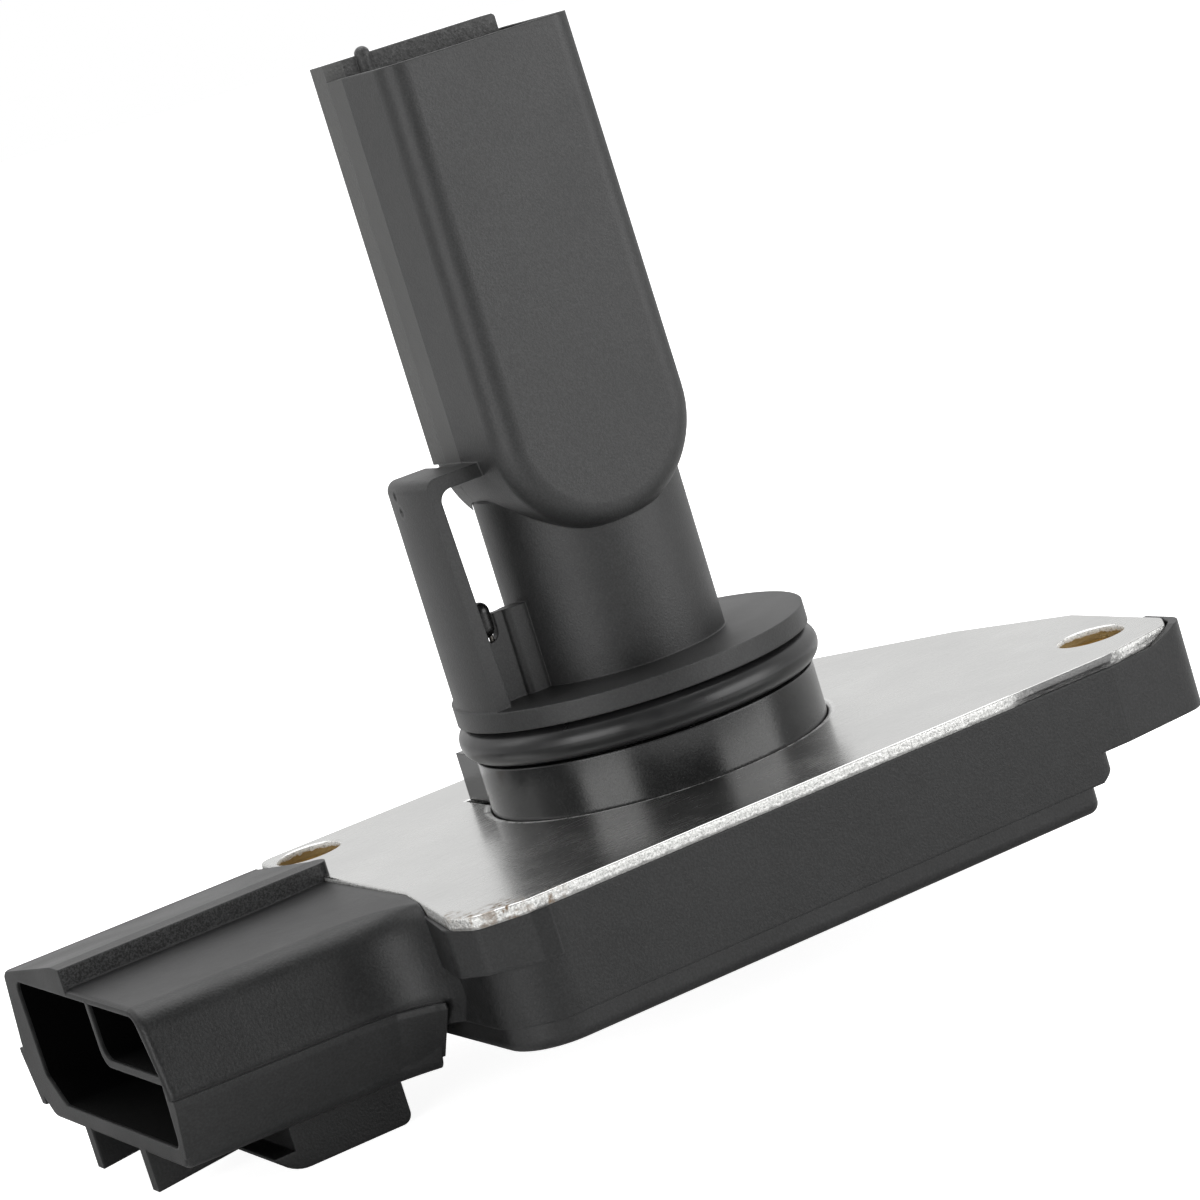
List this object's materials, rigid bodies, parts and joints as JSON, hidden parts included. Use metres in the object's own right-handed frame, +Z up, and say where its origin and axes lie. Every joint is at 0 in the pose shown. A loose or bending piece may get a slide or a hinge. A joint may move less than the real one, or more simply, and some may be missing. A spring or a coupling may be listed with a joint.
{
  "type": "mass airflow sensor",
  "caption": "Plug-in mass airflow sensor: a sampling probe on an O-ringed spigot, an aluminium mounting plate with two screw ears, and a moulded housing with a side connector.",
  "frame": {"origin": "on the spigot's axis, at the mounting plate's top face", "axes": "+Z up the probe, into the duct; +X along the housing, away from the connector; +Y from the long near side to the far side"},
  "size_m": [0.0853, 0.0502, 0.0773],
  "materials": {
    "plate": "bare, fine rolled grain",
    "moulding": "matt, fine grain",
    "brass": "plain",
    "ring_rubber": "satin",
    "terminal": "tinned",
    "board": "satin",
    "component": "matt",
    "capacitor": "satin",
    "solder": "bright",
    "steel": "plain",
    "element": "glazed",
    "bead": "dipped",
    "adhesive": "cured silicone"
  },
  "bodies": {
    "root": {"base_plate": "plate", "screw_bushes": "brass", "probe": "moulding", "head_cover": "moulding", "o_ring": "ring_rubber", "housing": "moulding", "bottom_cover": "moulding", "connector_terminals": "terminal", "circuit_board": "board", "control_chip": "component", "power_transistor": "component", "capacitors": "capacitor", "resistors": "component", "solder_joints": "solder", "element_carrier": "moulding", "element_stems": "steel", "hot_wire": "element", "reference_resistor": "element", "temperature_bead": "bead", "bead_leads": "steel", "cover_seal": "adhesive"}
  },
  "joints": []
}
